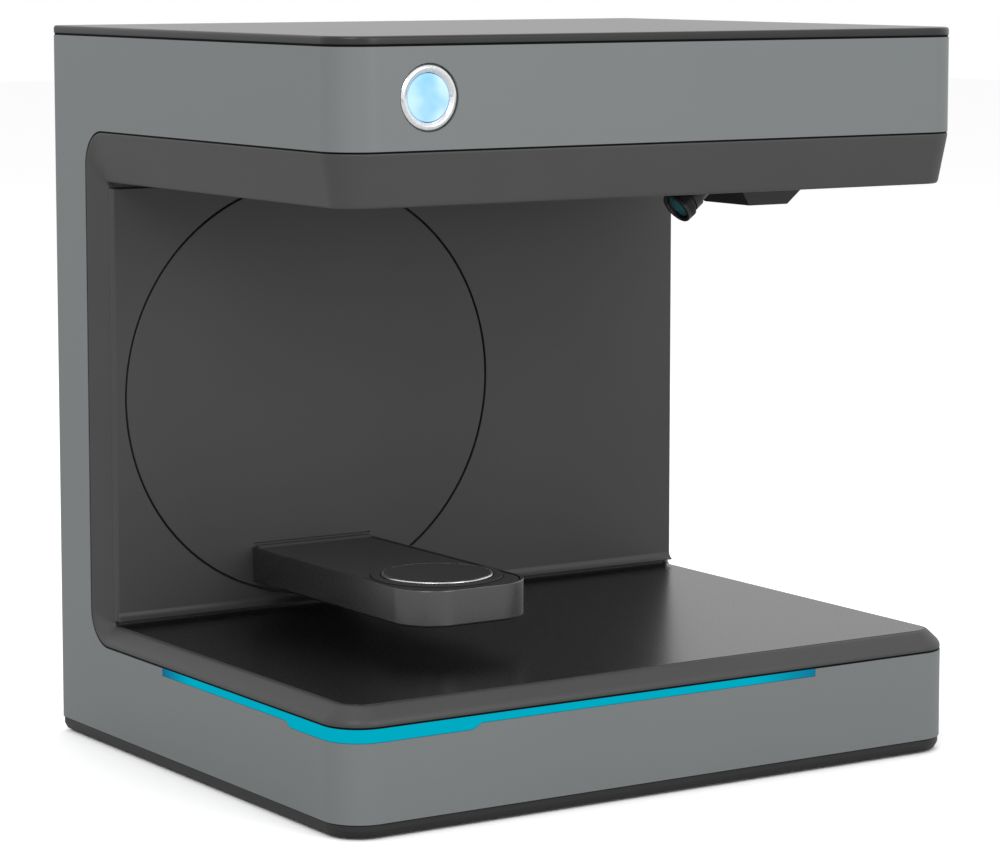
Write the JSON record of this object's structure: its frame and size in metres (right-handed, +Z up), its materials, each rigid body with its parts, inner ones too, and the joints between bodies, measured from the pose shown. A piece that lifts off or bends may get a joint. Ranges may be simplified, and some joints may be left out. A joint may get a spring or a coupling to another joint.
{
  "type": "desktop 3d scanner",
  "caption": "C-shaped desktop 3-D scanner with an open bay, a swinging arm that carries a small turntable, and cameras in the head.",
  "frame": {"origin": "on the floor, under the middle of the housing's width and depth", "axes": "+Z up, +X to the object's right seen from its front, -Y towards its open front"},
  "size_m": [0.334, 0.2706, 0.34],
  "materials": {
    "shell_grey": "satin mid grey paint on a moulded shell",
    "liner_dark": "fine-grained matte charcoal",
    "deck_black": "semi-gloss black",
    "lid_dark": "satin charcoal",
    "pan_black": "matte black",
    "foot_rubber": "soft matte rubber",
    "status_chrome": "polished",
    "status_blue": "lit, glossy",
    "light_cyan": "lit, diffusing",
    "arm_gloss": "glossy metallic grey",
    "arm_texture": "sparked matte texture",
    "table_metal": "turned, bright edge",
    "steel": "machined",
    "sheet_steel": "zinc-plated sheet",
    "aluminium": "machined",
    "black_metal": "black anodised",
    "lens_glass": "coated glass",
    "black_plastic": "moulded",
    "belt_rubber": "matte",
    "board_green": "solder mask",
    "supply_metal": "folded sheet case"
  },
  "bodies": {
    "housing": {"outer_shell": "shell_grey", "bay_liner": "liner_dark", "back_panel": "liner_dark", "bay_deck": "deck_black", "top_lid": "lid_dark", "base_pan": "pan_black", "foot_front_left": "foot_rubber", "foot_front_right": "foot_rubber", "foot_back_left": "foot_rubber", "foot_back_right": "foot_rubber", "light_guide": "light_cyan", "status_ring": "status_chrome", "status_lens": "status_blue", "chassis": "sheet_steel", "bearing_housing": "aluminium", "swing_bearing_front": "steel", "swing_bearing_back": "steel", "swing_motor": "black_metal", "optics_bracket": "aluminium", "optics_hood": "black_plastic", "camera_right_lens": "black_metal", "camera_right_glass": "lens_glass", "camera_right_body": "aluminium", "camera_left_lens": "black_metal", "camera_left_glass": "lens_glass", "camera_left_body": "aluminium", "projector_lens": "black_metal", "projector_glass": "lens_glass", "projector_body": "black_metal", "rear_panel": "liner_dark", "rear_screw_bottom_left": "steel", "rear_screw_bottom_right": "steel", "rear_screw_top_left": "steel", "rear_screw_top_right": "steel", "fan_housing": "black_plastic", "power_inlet": "black_plastic", "switch_frame": "black_plastic", "usb_socket": "aluminium", "power_supply": "supply_metal", "control_board": "board_green"},
    "swing_arm": {"swing_disc": "liner_dark", "arm_shell": "arm_gloss", "arm_cover": "arm_texture", "table_ring": "arm_texture", "table_bearing": "steel", "table_motor": "black_metal", "table_belt": "belt_rubber", "swing_shaft": "steel", "swing_gear": "steel", "shaft_collar": "steel"},
    "turntable": {"turntable_plate": "table_metal", "turntable_pad": "arm_texture", "table_shaft": "steel", "table_pulley": "aluminium"},
    "table_drive": {"table_motor_pulley": "steel"},
    "swing_pinion": {"motor_pinion": "steel"},
    "fan": {"fan_rotor": "black_plastic"},
    "switch": {"switch_rocker": "black_plastic"}
  },
  "joints": [
    {"name": "arm_swing", "type": "hinge", "parent": "housing", "child": "swing_arm", "pos_m": [-0.0543, 0.08585, 0.1649], "axis": [0, 1, 0], "range_deg": [-90, 90]},
    {"name": "pinion_spin", "type": "hinge", "parent": "housing", "child": "swing_pinion", "pos_m": [-0.0543, 0.09285, 0.2309], "axis": [0, 1, 0], "range_deg": [-405, 405]},
    {"name": "turntable_spin", "type": "hinge", "parent": "swing_arm", "child": "turntable", "pos_m": [-0.0543, -0.02865, 0.0906], "axis": [0, 0, 1], "continuous": true},
    {"name": "table_drive_spin", "type": "hinge", "parent": "swing_arm", "child": "table_drive", "pos_m": [-0.0543, 0.03735, 0.0798], "axis": [0, 0, 1], "continuous": true},
    {"name": "fan_spin", "type": "hinge", "parent": "housing", "child": "fan", "pos_m": [0.066, 0.12095, 0.249], "axis": [0, 1, 0], "continuous": true},
    {"name": "switch_rock", "type": "hinge", "parent": "housing", "child": "switch", "pos_m": [-0.061, 0.12695, 0.037], "axis": [1, 0, 0], "range_deg": [-16, 0]}
  ],
  "couplings": [
    {"joint": "pinion_spin", "follows": "arm_swing", "ratio": -4.5},
    {"joint": "table_drive_spin", "follows": "turntable_spin", "ratio": 2}
  ]
}
